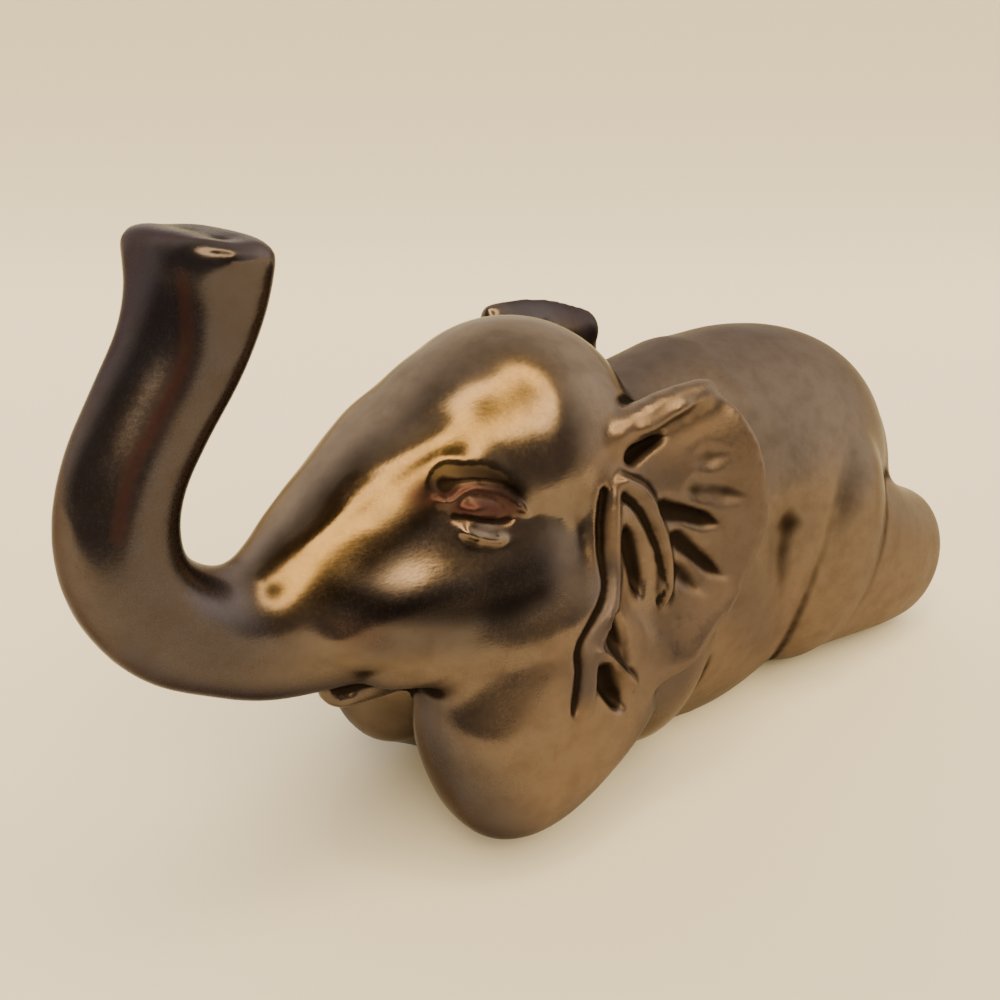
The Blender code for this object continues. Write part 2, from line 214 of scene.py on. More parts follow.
def sponged(obj, rounds, where=""):
    sponge = obj.modifiers.new("sponge", "SMOOTH")
    sponge.factor = SPONGE_STRENGTH
    sponge.iterations = rounds
    sponge.vertex_group = where
    return settle(obj)


def between(a, b, c, d, t):
    """Catmull-Rom curve from b to c."""
    straight = 2 * b + (c - a) * t
    return 0.5 * (straight + (2 * a - 5 * b + 4 * c - d) * t * t + (3 * b - a - 3 * c + d) * t ** 3)


def smooth_run(stations, steps):
    rows = [Vector(s) for s in stations]
    rows = [2 * rows[0] - rows[1], *rows, 2 * rows[-1] - rows[-2]]
    run = []
    for i in range(1, len(rows) - 2):
        for k in range(steps):
            run.append(between(*rows[i - 1:i + 3], k / steps))
    run.append(rows[-2])
    return run


def boxed(value, square):
    """Push a cosine or sine out towards a rounded box. A squareness of 2 leaves it an oval."""
    return math.copysign(abs(value) ** (2 / square), value)


def round_end(ring, way, fullness):
    """Rings that close a form with a rounded end."""
    place, tangent, across, deep, square = ring
    reach = min(across, deep) * fullness
    for k in range(1, END_RINGS + 1):
        turn = math.pi / 2 * k / (END_RINGS + END_HOLE)
        fall = math.cos(turn)
        centre = place + way * tangent * reach * math.sin(turn)
        yield centre, tangent, across * fall, deep * fall, square


def loft(name, stations, fullness=1.0):
    """Closed form through oval rings, with round ends."""
    run = smooth_run(stations, STEPS_ALONG_FORM)
    places = [Vector(s[:3]) for s in run]
    last = len(places) - 1
    rings = []
    for i, station in enumerate(run):
        tangent = (places[min(i + 1, last)] - places[max(i - 1, 0)]).normalized()
        square = station[5] if len(station) > 5 else 2
        rings.append((places[i], tangent, station[3], station[4], square))
    start = list(round_end(rings[0], -1, fullness))[::-1]
    rings = start + rings + list(round_end(rings[-1], 1, fullness))
    mesh = bmesh.new()
    loops = []
    for place, tangent, across, deep, square in rings:
        side = Vector((0, 1, 0))
        side = (side - side.dot(tangent) * tangent).normalized()
        rise = side.cross(tangent)
        loop = []
        for k in range(FORM_SIDES):
            turn = 2 * math.pi * k / FORM_SIDES
            c, s = boxed(math.cos(turn), square), boxed(math.sin(turn), square)
            loop.append(mesh.verts.new((place + side * c * across + rise * s * deep) * SHARE))
        loops.append(loop)
    for one, two in zip(loops, loops[1:]):
        for k in range(FORM_SIDES):
            n = (k + 1) % FORM_SIDES
            mesh.faces.new((one[k], one[n], two[n], two[k]))
    mesh.faces.new(loops[0][::-1])
    mesh.faces.new(loops[-1])
    bmesh.ops.recalc_face_normals(mesh, faces=mesh.faces)
    return new_object(name, mesh)


def rounded_mass(name, form):
    centre, radii, turn = form
    mesh = bmesh.new()
    bmesh.ops.create_uvsphere(mesh, u_segments=ROUND_SEGMENTS, v_segments=ROUND_RINGS, radius=1)
    turned = Euler([math.radians(a) for a in turn]).to_matrix().to_4x4()
    sized = Matrix.Diagonal((*[r * SHARE for r in radii], 1))
    mesh.transform(Matrix.Translation(Vector(centre) * SHARE) @ turned @ sized)
    return new_object(name, mesh)


def ear_sheet():
    """A leaf of clay from the root to the rim, hollowed a little like a bowl."""
    root = smooth_run(EAR_ROOT, STEPS_ALONG_FORM)
    rim = smooth_run(EAR_RIM, STEPS_ALONG_FORM)
    mesh = bmesh.new()
    rows = []
    for inner, outer in zip(root, rim):
        row = []
        for k in range(EAR_STEPS_ACROSS + 1):
            share = k / EAR_STEPS_ACROSS
            spot = inner.lerp(outer, share)
            spot.y += EAR_BOWL * math.sin(math.pi * share)
            row.append(mesh.verts.new(spot * SHARE))
        rows.append(row)
    for one, two in zip(rows, rows[1:]):
        for k in range(EAR_STEPS_ACROSS):
            mesh.faces.new((one[k], one[k + 1], two[k + 1], two[k]))
    leaf = new_object("ear", mesh)
    wall = leaf.modifiers.new("thickness", "SOLIDIFY")
    wall.thickness = EAR_THICKNESS * SHARE
    wall.offset = 0
    return settle(leaf)


def mirrored(obj, then=None):
    """A copy on the far side, which a further matrix may alter."""
    copy = obj.copy()
    copy.data = obj.data.copy()
    copy.data.transform((then or Matrix.Identity(4)) @ TO_FAR_SIDE)
    copy.data.flip_normals()
    bpy.context.scene.collection.objects.link(copy)
    return copy


def pulled_out(share):
    """Stretch the far ear from its foot and lean its top towards the neck."""
    foot = Matrix.Translation(Vector(FAR_EAR_FOOT) * share)
    stretch = Matrix.Diagonal((*FAR_EAR_STRETCH, 1))
    lean = Matrix.Identity(4)
    lean[1][2] = FAR_EAR_LEAN
    lean[2][0] = FAR_EAR_SLOPE
    return foot @ lean @ stretch @ foot.inverted()


def distance_along(points, places):
    """Each point's distance to a bent line, and how far along the line that is, from 0 to 1."""
    nearest = np.full(len(points), np.inf)
    along = np.zeros(len(points))
    last = len(places) - 1
    for i in range(last):
        run = places[i + 1] - places[i]
        share = np.clip((points - places[i]) @ run / (run @ run), 0, 1)
        far = np.linalg.norm(points - places[i] - share[:, None] * run, axis=1)
        closer = far < nearest
        nearest[closer] = far[closer]
        along[closer] = (i + share[closer]) / last
    return nearest, along


def read_clay(mesh):
    """Places in shares, and normals."""
    spots = np.empty(len(mesh.vertices) * 3, np.float32)
    mesh.vertices.foreach_get("co", spots)
    normals = np.empty(len(mesh.vertices) * 3, np.float32)
    mesh.vertex_normals.foreach_get("vector", normals)
    return spots.reshape(-1, 3).astype(float) / SHARE, normals.reshape(-1, 3).astype(float)


forms = [
    loft("torso", TORSO, TORSO_FULLNESS),
    loft("face_and_trunk", FACE_AND_TRUNK, TRUNK_FULLNESS),
    rounded_mass("skull", SKULL),
    loft("lower_lip", LOWER_LIP),
    loft("tail", TAIL),
]
foreleg = loft("foreleg", FORELEG, FORELEG_FULLNESS)
forms += [foreleg, mirrored(foreleg, Matrix.Translation(Vector(FAR_FORELEG_SHIFT) * SHARE))]
LOFTS_EACH_SIDE = {
    "hind_leg": HIND_LEG,
    "jowl": JOWL,
    "tusk_sheath": TUSK_SHEATH,
    "face_ridge": FACE_RIDGE,
}
forms_each_side = [loft(*one) for one in LOFTS_EACH_SIDE.items()]
forms_each_side += [rounded_mass(*one) for one in MASSES_EACH_SIDE.items()]
for form in forms_each_side:
    forms += [form, mirrored(form)]
for form in (ear_sheet(), loft("top_fold", TOP_FOLD)):
    forms += [form, mirrored(form, pulled_out(SHARE))]

clay = bmesh.new()
for form in forms:
    clay.from_mesh(form.data)
    bpy.data.objects.remove(form)
figure = new_object("ceramic_elephant", clay)
joined = figure.modifiers.new("one_casting", "REMESH")
joined.mode = "VOXEL"
joined.voxel_size = JOINING_GRID * SHARE
sponged(figure, SPONGE_ROUNDS)

spots, normals = read_clay(figure.data)
cover = np.zeros(len(spots))
for places, half_width in RUBBED_LINES:
    for across in (Matrix.Identity(4), TO_FAR_SIDE):
        line = np.array([list(across @ Vector(p)) for p in smooth_run(places, STEPS_ALONG_RUB)])
        distance = distance_along(spots, line)[0]
        cover = np.maximum(cover, 0.5 * (1 + np.cos(np.pi * np.clip(distance / half_width, 0, 1))))
group = figure.vertex_groups.new(name="rubbed")
for index in np.nonzero(cover)[0]:
    group.add([int(index)], float(cover[index]), "REPLACE")
sponged(figure, RUBBED_ROUNDS, "rubbed")

# Tooling of the model that the mould was taken from: eyelids, mouth, the folds and pockets of
# the ears and the creases of the thighs. Each is a rib or a groove along a smooth line. The near
# ear and the eyes get a finer grid first, and the plainer far ear keeps the joining grid.
STEPS_ALONG_LINE = 6
START_FADE = 1.2
END_FADE = 2.2
END_WIDTH = 0.4
BROAD = 5.4
DARK_DEPTH = 2.6
EYE_PLACE = (-65, -24, 92)
EYE_REACH = 15
EAR_BOX = ((-60, -60, 30), (16, -27, 114))
TOOLED_SPONGE_ROUNDS = 8
LAYING_REACH = 1.2
LAYING_DEPTH = 2.0

# Places along the line, half width at its start and end, height (a groove is below nought), flat share.
EAR_LINES = [
    ([(-33, -33, 92.5), (-35, -35.7, 81), (-36.5, -37.2, 69.5), (-42, -39, 62), (-47.5, -40.5, 56),
      (-49, -42.3, 49), (-52.5, -43.4, 40)], 2.6, 2.6, 1.1, 0),
    ([(-35.4, -32, 92), (-37.6, -34, 85), (-38.9, -35.7, 77.5), (-39.9, -38, 70), (-46.5, -40.4, 63.9),
      (-50.8, -40.1, 58.5), (-52, -41.7, 52.7), (-55.4, -42.7, 41)], 1.7, 1.7, -2.4, 0.1),
    ([(-33.6, -32.9, 92.7), (-28.5, -33.5, 90.2), (-24.5, -34.5, 87), (-21, -36.4, 79.5),
      (-18.6, -37.4, 71), (-17.9, -38, 63.3), (-20, -39.4, 55.5)], 2.8, 2.8, 2.6, 0),
    ([(-31.5, -34.2, 88.5), (-27.5, -34.9, 85.2), (-24, -36, 79.5), (-21, -37, 71.8),
      (-19.5, -37.8, 63.5), (-21, -38.7, 57.5)], 1.0, 1.0, -1.8, 0),
    ([(-31.5, -35.4, 82.5), (-29, -36.3, 74.5), (-27.5, -36.8, 68),
      (-25.8, -37.2, 60)], 4.4, 3.0, -3.8, 0.1),
    ([(-40.6, -40.6, 64), (-38.6, -41, 56), (-36.6, -41.9, 47.5)], 2.6, 5.6, -4.6, 0.3),
    ([(-46.3, -42, 54), (-42.2, -42.9, 45.7), (-36.5, -43.2, 36.5)], 5.2, 2.6, -4.4, 0.3),
    ([(-47.5, -41, 58), (-42, -42, 52), (-36.5, -42, 46), (-32, -42.5, 41)], 2.2, 2.2, 1.8, 0),
    ([(-28.5, -31.5, 95), (-25, -31.5, 96), (-21, -31.7, 97), (-14, -33, 99)], 4.2, 1.2, -3.8, 0.1),
    ([(-26.5, -32, 102.5), (-20.5, -33, 102.8), (-13, -34.5, 105.5), (-6, -36, 107)], 2.6, 2.6, 1.2, 0),
    ([(-12, -35.6, 93.6), (-6.8, -38.4, 92.8), (-2.8, -40.3, 93), (2.5, -42.8, 92.6)], 6.0, 4.4, -1.1, 0),
    ([(-14, -37, 84.5), (-7.4, -39.5, 85), (-1, -42.2, 83.4), (6.8, -46, 80.3)], 5.6, 4.0, -1.4, 0),
    ([(-22.5, -35.4, 83.4), (-16.5, -37, 81), (-10, -39.1, 78.6), (-1, -43, 74.5)], 5.0, 2.6, -2.7, 0),
    ([(-17.5, -37.4, 77), (-12.5, -38.8, 71.8), (-7.5, -40.8, 66.8), (-1, -44, 60.5)], 4.6, 2.6, -2.0, 0),
    ([(-16.5, -38, 68.5), (-12, -39.5, 63.2), (-7.4, -42.5, 57)], 4.6, 3.4, -1.3, 0),
]
EYE_LINES = [
    ([(-76.5, -18, 95.5), (-73, -22.4, 95.2), (-70.6, -24.1, 97), (-67, -25.1, 97.2), (-62.3, -25.7, 95.2),
      (-58.6, -26.8, 91.8), (-55, -28.2, 88.3)], 2.0, 2.0, 1.5, 0),
    ([(-77, -19.5, 97.6), (-73, -21.5, 98.8), (-67.5, -24.3, 98.4), (-62, -25.9, 95.8),
      (-57, -27.4, 90.5)], 5.5, 5.8, -2.4, 0),
    ([(-74, -21.4, 92), (-70.8, -25, 91.2), (-67, -26.2, 89.8), (-63, -26.5, 88.7),
      (-58.4, -27.5, 88.8)], 1.2, 1.2, -1.3, 0),
    ([(-72.6, -23, 89.2), (-70.4, -24.5, 87.8), (-67.6, -25.3, 86.2), (-64.4, -26.3, 85.2),
      (-60.5, -27.3, 85.2)], 1.7, 1.6, 1.6, 0),
]
BODY_LINES = [
    ([(42.5, -35.8, 72), (39.5, -37.3, 63), (37.7, -38, 51.5), (38.5, -37.4, 38.5),
      (42.5, -34, 22.5)], 14.0, 14.0, -2.4, 0),
]
MOUTH_LINES = [
    ([(-94, -3, 47.5), (-91, -5.2, 48.4), (-86, -10, 49), (-80, -17, 50), (-72, -26, 51.5),
      (-63, -35, 53), (-56, -38.5, 54)], 2.0, 2.0, -2.0, 0),
    ([(-71, -29, 51.8), (-66.5, -33, 52), (-62, -36, 52.5)], 2.6, 2.6, -2.2, 0.2),
    ([(-113.5, -18, 152), (-113.5, -9, 153), (-113.5, 0, 153), (-113.5, 9, 153),
      (-113.5, 18, 152)], 8.0, 8.0, -1.4, 0),
]


def finer(mesh, wanted):
    """Quarter the faces whose corners are all wanted."""
    edges = [e for e in mesh.edges if wanted(e.verts[0].co / SHARE) and wanted(e.verts[1].co / SHARE)]
    bmesh.ops.subdivide_edges(mesh, edges=edges, cuts=1, use_grid_fill=True)


def inside(box):
    low, high = box
    return lambda place: all(a < v < b for a, v, b in zip(low, place, high))


def near_eye(place):
    return (Vector((place.x, -abs(place.y), place.z)) - Vector(EYE_PLACE)).length < EYE_REACH


def laid_on_clay(spots, normals, line, side):
    """Bring each place of a line out or in to the outermost clay there."""
    outward = spots[:, 1] * side
    for place in line:
        under = np.hypot(spots[:, 0] - place[0], spots[:, 2] - place[2]) < LAYING_REACH
        under &= normals[:, 1] * side > 0
        if under.any():
            skin = outward[under]
            place[1] = side * skin[skin > skin.max() - LAYING_DEPTH].mean()


def stroke(spots, normals, places, start, end, flat, both_sides, laid):
    """Strength from 0 to 1 of a soft stroke along a smooth line, fading out at its ends."""
    line = np.array([list(p) for p in smooth_run(places, STEPS_ALONG_LINE)])
    side = math.copysign(1, line[:, 1].mean())
    if laid:
        laid_on_clay(spots, normals, line, side)
    near = np.abs(spots - line.mean(axis=0)).max(axis=1) < np.ptp(line, axis=0).max() + max(start, end)
    if not both_sides:
        near &= normals[:, 1] * side > 0
    distance, along = distance_along(spots[near], line)
    length = np.linalg.norm(np.diff(line, axis=0), axis=1).sum()
    fade = np.clip(along * length / (START_FADE * start), 0, 1)
    fade *= np.clip((1 - along) * length / (END_FADE * end), 0, 1)
    fade = fade * fade * (3 - 2 * fade)
    width = (start + (end - start) * along) * (END_WIDTH + (1 - END_WIDTH) * fade)
    rise = np.clip((1 - distance / width) / (1 - flat), 0, 1)
    strength = np.zeros(len(spots))
    strength[near] = rise * rise * (3 - 2 * rise) * fade
    return strength


tooled = bmesh.new()
tooled.from_mesh(figure.data)
finer(tooled, inside(EAR_BOX))
finer(tooled, near_eye)
bmesh.ops.triangulate(tooled, faces=[f for f in tooled.faces if len(f.verts) > 4])
tooled.to_mesh(figure.data)
tooled.free()

spots, normals = read_clay(figure.data)
grooves = np.zeros(len(spots))
TOOLING = (
    (EAR_LINES, pulled_out(1) @ TO_FAR_SIDE, True),
    (EYE_LINES + BODY_LINES, TO_FAR_SIDE, True),
    (MOUTH_LINES, TO_FAR_SIDE, False),
)
for lines, across, laid in TOOLING:
    for places, start, end, height, flat in lines:
        over_the_top = places[0][1] * places[-1][1] < 0
        near_line = [Vector(p) for p in places]
        tracks = [near_line] if over_the_top else [near_line, [across @ p for p in near_line]]
        for track in tracks:
            strength = stroke(spots, normals, track, start, end, flat, over_the_top, laid)
            spots += normals * (height * strength)[:, None]
            # The floors of the narrower grooves are kept, to be painted dark as painted shade.
            if height < 0 and start < BROAD:
                grooves = np.maximum(grooves, strength * min(1, -height / DARK_DEPTH))
figure.data.vertices.foreach_set("co", (spots * SHARE).astype(np.float32).ravel())
figure.data.update()
sponged(figure, TOOLED_SPONGE_ROUNDS)

# The depth of each spot below the clay around it, which paints the hollows dark as painted shade and pales
# the ribs where the glaze was rubbed thin, and soft patches: copper and oxblood red that the firing left,
# gold painted where the highlight falls, smoky glaze on the trunk with painted shade elsewhere, and
# painted shade. A patch has the places of a line along it, its half width and its strength.
SPREAD_ROUNDS = 10
HOLLOW_ROUNDS = 2
FULL_HOLLOW = 0.30
STEPS_ALONG_PATCH = 4
COPPER_PATCHES = [
    ([(-78, -16, 52), (-62, -30, 56), (-50, -36, 58)], 15, 0.8),
    ([(-50, -30, 46), (-50, -38, 28), (-46, -34, 12)], 34, 0.95),
    ([(-40, -42, 48), (-24, -42, 40), (-6, -40, 32)], 20, 0.85),
    ([(-28, -33, 96), (-8, -37, 96), (2, -43, 84), (0, -44, 66), (-14, -42, 52)], 20, 0.8),
    ([(-22, -36, 84), (-16, -39, 66)], 14, 0.7),
    ([(10, -36, 26), (40, -38, 28), (84, -40, 24), (118, -30, 12)], 34, 0.7),
    ([(-100, -10, 56), (-84, -12, 54)], 14, 0.45),
    ([(-34, -38, 62), (-28, -40, 44)], 14, 0.7),
    ([(-36, -36, 84), (-40, -38, 70), (-48, -41, 58), (-52, -43, 44)], 8, 1.0),
]
OXBLOOD_PATCHES = [
    ([(-78, -18, 96), (-74, -21, 96.5), (-67, -25, 97), (-60, -27, 92.5)], 5.5, 0.9),
    ([(-72, -24, 93.5), (-66, -26, 92.5), (-61, -28, 90.5)], 5.5, 1.0),
    ([(-97, -16, 72), (-91, -18, 70), (-86, -18, 66)], 6, 0.9),
    ([(-122.6, -11.6, 146), (-123.5, -11.6, 133.5), (-129.5, -10.8, 123), (-136, -10.3, 113.4),
      (-139.6, -10.2, 103)], 2.6, 0.8),
    ([(-32, -36, 78), (-28, -37, 64)], 4, 0.6),
    ([(-70, -22.5, 86.5), (-64, -26, 84.5)], 2.5, 0.5),
]
# Gold painted along the brow ridge and down the side of the trunk, where the highlight of the window light
# falls: a painted highlight colour.
HIGHLIGHT_GOLD_PATCHES = [
    ([(-47, -17, 114), (-57, -19, 110), (-72, -17, 103), (-88, -13, 93), (-106, -11, 83)], 12, 1.0),
]
# Smoke: a dark smoky glaze on the trunk tip and front, and painted shade on the trunk underside, the legs,
# the flank, the back, the ear, the crown and in the dark band and creases around the cheek and eye.
SMOKE_AND_SHADE_PATCHES = [
    ([(-112, 0, 154), (-122, -6, 130)], 52, 0.95),
    ([(-122, -6, 130), (-132, -8, 108), (-134, -8, 88), (-124, -8, 76)], 38, 0.9),
    ([(-64, -32, 70), (-76, -28, 68), (-92, -22, 68)], 9, 0.6),
    ([(-84, -18, 92), (-76, -21, 94)], 8, 0.6),
    ([(-80, -16, 48), (-79, -26, 35), (-73, -32, 22), (-64, -32, 8)], 16, 0.9),
    ([(-138, -8, 84), (-136, -8, 76), (-128, -8, 68), (-115, -8, 60), (-98, -8, 54),
      (-86, -10, 54)], 15, 0.95),
    ([(-50, -42, 8), (-34, -40, 10), (-22, -42, 26), (-10, -40, 34)], 18, 0.7),
    ([(-20, -40, 88), (2, -44, 78), (-4, -44, 60), (-22, -43, 46)], 22, 0.45),
    ([(-4, 0, 102), (36, 0, 110), (76, 0, 104), (100, 0, 80)], 48, 0.5),
    ([(14, -38, 50), (34, -38, 26)], 16, 0.4),
    ([(-96, -18, 78), (-90, -21.5, 76), (-82, -26, 73.5), (-74, -29.3, 71.5), (-64, -33, 71),
      (-57, -35, 72)], 8, 0.95),
    ([(-80, -26, 77), (-73, -28, 77.5)], 5, 0.8),
    ([(-66, -30, 77), (-57, -32, 77)], 10, 0.7),
    ([(-99, -15, 81), (-92, -17, 84), (-85.5, -18.7, 88), (-78.5, -20.4, 92)], 7, 0.95),
    ([(-38, -38, 72), (-45, -40, 62), (-51, -42, 50)], 8, 0.8),
    ([(-14, 19, 121), (10, 21, 117), (20, 22, 108)], 15, 0.95),
]
# Painted shade: the socket under the brow, the dark band below the eye with its streak up to the socket,
# and a pocket at the front of the ear.
PAINTED_SHADE_PATCHES = [
    ([(-77, -20, 98.5), (-72, -22.5, 100.5), (-67.5, -24, 100.2), (-62, -25.5, 98),
      (-58, -27, 94)], 4.6, 1.0),
    ([(-78, -20.5, 93), (-84, -19, 89.5), (-92, -17, 84.5)], 5, 0.8),
    ([(-99, -15, 80.5), (-90, -21.5, 76), (-82, -26, 74), (-74, -29.3, 72.5), (-64, -33, 72),
      (-58, -34.5, 73)], 6.5, 0.8),
    ([(-66, -30, 77), (-58, -32, 77)], 8, 0.5),
    ([(-71, -25, 84.8), (-66, -26.5, 83), (-60, -28, 83.3)], 1.8, 0.9),
    ([(-40.5, -41, 61), (-37.5, -42, 50)], 4.2, 0.95),
]


def spread(values, ends, rounds):
    """Average each value with its neighbours, over and over."""
    count = len(values)
    beside = np.maximum(np.bincount(ends.ravel(), minlength=count), 1)
    for _ in range(rounds):
        total = np.bincount(ends[:, 0], values[ends[:, 1]], count)
        total += np.bincount(ends[:, 1], values[ends[:, 0]], count)
        values = 0.5 * values + 0.5 * total / beside
    return values


def keep_on_mesh(mesh, name, values):
    layer = mesh.attributes.new(name, "FLOAT", "POINT")
    layer.data.foreach_set("value", values.astype(np.float32))


spots, normals = read_clay(figure.data)
ends = np.empty(len(figure.data.edges) * 2, np.int32)
figure.data.edges.foreach_get("vertices", ends)
ends = ends.reshape(-1, 2)
around = np.stack([spread(spots[:, axis], ends, SPREAD_ROUNDS) for axis in range(3)], axis=1)
depth = ((around - spots) * normals).sum(axis=1)
# The hollows measured here, with the groove floors, are painted near black as painted shade.
hollow = spread(np.clip(depth / FULL_HOLLOW, -1, 1), ends, HOLLOW_ROUNDS)
keep_on_mesh(figure.data, "hollow", np.maximum(hollow, grooves))
PATCHES = {
    "copper": COPPER_PATCHES,
    "oxblood": OXBLOOD_PATCHES,
    "highlight_gold": HIGHLIGHT_GOLD_PATCHES,
    "smoke_and_shade": SMOKE_AND_SHADE_PATCHES,
    "painted_shade": PAINTED_SHADE_PATCHES,
}
for name, patches in PATCHES.items():
    cover = np.zeros(len(spots))
    for places, half_width, strength in patches:
        near_line = np.array([list(p) for p in smooth_run(places, STEPS_ALONG_PATCH)])
        for line in (near_line, near_line * (1, -1, 1)):
            rise = np.clip(1 - distance_along(spots, line)[0] / half_width, 0, 1)
            cover = np.maximum(cover, strength * rise * rise * (3 - 2 * rise))
    keep_on_mesh(figure.data, name, cover)

# Thin the grid a little where the surface is plain, so that the figure stays under 200,000 triangles.
TRIANGLES_KEPT = 0.85

spare = figure.modifiers.new("spare_triangles", "DECIMATE")
spare.ratio = TRIANGLES_KEPT
settle(figure)

# The underside: ground flat on the wheel after firing, so bare clay shows where it stood on
# the kiln shelf. The figure stands on it with its box on the origin, as the frame has it.
FLAT_TOLERANCE = 0.0002

ground = bmesh.new()
ground.from_mesh(figure.data)
every = ground.verts[:] + ground.edges[:] + ground.faces[:]
cut = bmesh.ops.bisect_plane(
    ground, geom=every, dist=FLAT_TOLERANCE, plane_co=(0, 0, 0), plane_no=(0, 0, 1), clear_inner=True)
rim = [e for e in cut["geom_cut"] if isinstance(e, bmesh.types.BMEdge)]
for edge in rim:
    for vert in edge.verts:
        vert.co.z = 0
bmesh.ops.triangle_fill(ground, edges=rim, use_beauty=True)
bmesh.ops.recalc_face_normals(ground, faces=ground.faces)
ground.to_mesh(figure.data)
ground.free()

low, high = (np.array(corner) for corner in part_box("elephant"))
spots = np.empty(len(figure.data.vertices) * 3, np.float32)
figure.data.vertices.foreach_get("co", spots)
spots = spots.reshape(-1, 3)
own_low, own_high = spots.min(axis=0), spots.max(axis=0)
fit = (high - low) / (own_high - own_low)
figure.data.vertices.foreach_set("co", ((spots - own_low) * fit + low).astype(np.float32).ravel())
figure.data.update()
figure.data.shade_smooth()

# Bronze lustre glaze: a dark brown glaze with a thin metal film fired on it. It is glossy,
# warmer and duller on the legs, worn pale on the ribs, and finely pitted all over. Painted shade
# darkens its hollows, socket and shaded parts, and a painted highlight colour turns the brow ridge gold.
BRONZE = (0.165, 0.125, 0.096, 1)
OLIVE_BRONZE = (0.138, 0.106, 0.084, 1)
HIGHLIGHT_GOLD = (0.174, 0.114, 0.048, 1)
COPPER = (0.172, 0.116, 0.082, 1)
OXBLOOD = (0.052, 0.017, 0.018, 1)
SMOKE_AND_SHADE = (0.062, 0.056, 0.066, 1)
PAINTED_SHADE = (0.012, 0.008, 0.006, 1)
RUBBED = (0.24, 0.165, 0.095, 1)
SPECKLED = (0.060, 0.040, 0.026, 1)
EDGE_TINT = (0.60, 0.57, 0.54, 1)
SMOKE_AND_SHADE_EDGE_TINT = (0.34, 0.33, 0.34, 1)
PAINTED_SHADE_EDGE_TINT = (0.09, 0.08, 0.07, 1)
BARE_CLAY = (0.62, 0.50, 0.38, 1)
BROAD_SCALE = 28
MOTTLE_SCALE = 170
FINE_SCALE = 1100
GRIT_SCALE = 2600
WIPED_SCALE = 130
WIPED_TURN = (0.3, 0.5, 0.4)
WIPED_STRETCH = (1, 14, 14)
RUBBED_SHARE = 0.7
RUBBED_HOLLOW = (-0.18, -0.8)
SHADED_HOLLOW = (0.06, 0.55)
HOLLOW_SHADE_STRENGTH = 0.94
LUSTRE_METAL = 0.97
COPPER_METAL_LOSS = 0.35
GLAZE_ROUGHNESS = (0.13, 0.19)
COPPER_ROUGHNESS = 0.32
FINE_ROUGHNESS = 0.05
HOLLOW_ROUGHNESS = 0.35
RED_ROUGHNESS = 0.15
SMOKE_AND_SHADE_ROUGHNESS = 0.1
BODY_ROUGHNESS = 0.14
BODY_FADE = (-0.02, 0.03)
BARE_ROUGHNESS = 0.5
BARE_HEIGHTS = (0.0006, 0.0002)
BUMP_STRENGTH = 0.08
BUMP_DEPTH = 0.0003

glaze = bpy.data.materials.new("bronze_lustre_glaze")
glaze.use_nodes = True
nodes, links = glaze.node_tree.nodes, glaze.node_tree.links
surface = nodes["Principled BSDF"]


def node(kind, **settings):
    made = nodes.new(kind)
    for name, value in settings.items():
        setattr(made, name, value)
    return made


def feed(socket, value):
    if isinstance(value, bpy.types.NodeSocket):
        links.new(value, socket)
    else:
        socket.default_value = value


def noise(place, scale, detail, roughness):
    made = node("ShaderNodeTexNoise")
    feed(made.inputs["Vector"], place)
    feed(made.inputs["Scale"], scale)
    feed(made.inputs["Detail"], detail)
    feed(made.inputs["Roughness"], roughness)
    return made.outputs["Fac"]


def window(value, start, end, low_value=0.0, high_value=1.0):
    made = node("ShaderNodeMapRange", interpolation_type="SMOOTHSTEP")
    feed(made.inputs["Value"], value)
    feed(made.inputs["From Min"], start)
    feed(made.inputs["From Max"], end)
    feed(made.inputs["To Min"], low_value)
    feed(made.inputs["To Max"], high_value)
    return made.outputs["Result"]


def sums(operation, a, b):
    made = node("ShaderNodeMath", operation=operation)
    feed(made.inputs[0], a)
    feed(made.inputs[1], b)
    return made.outputs["Value"]


def blended(cover, under, over):
    made = node("ShaderNodeMix", data_type="RGBA", blend_type="MIX")
    feed(made.inputs["Factor"], cover)
    feed(made.inputs[6], under)
    feed(made.inputs[7], over)
    return made.outputs[2]


def painted(name):
    return node("ShaderNodeAttribute", attribute_name=name).outputs["Fac"]


place = node("ShaderNodeTexCoord").outputs["Object"]
broad = noise(place, BROAD_SCALE, 4, 0.55)
mottle = noise(place, MOTTLE_SCALE, 5, 0.6)
fine = noise(place, FINE_SCALE, 3, 0.6)
grit = noise(place, GRIT_SCALE, 2, 0.6)
hollow = painted("hollow")
copper = sums("MULTIPLY", painted("copper"), window(mottle, 0.25, 0.62, 0.45, 1.0))
smoke_and_shade = painted("smoke_and_shade")
red = painted("oxblood")

colour = blended(window(broad, 0.38, 0.62), OLIVE_BRONZE, BRONZE)
colour = blended(copper, colour, COPPER)
# Smoke darkens the colour and the edge tint: smoky glaze on the trunk, painted shade in the other patches.
colour = blended(smoke_and_shade, colour, SMOKE_AND_SHADE)
edge = blended(smoke_and_shade, EDGE_TINT, SMOKE_AND_SHADE_EDGE_TINT)
# Painted highlight: gold along the brow ridge.
colour = blended(painted("highlight_gold"), colour, HIGHLIGHT_GOLD)
colour = blended(red, colour, OXBLOOD)
colour = blended(window(mottle, 0.35, 0.75, 0.0, 0.35), colour, SPECKLED)
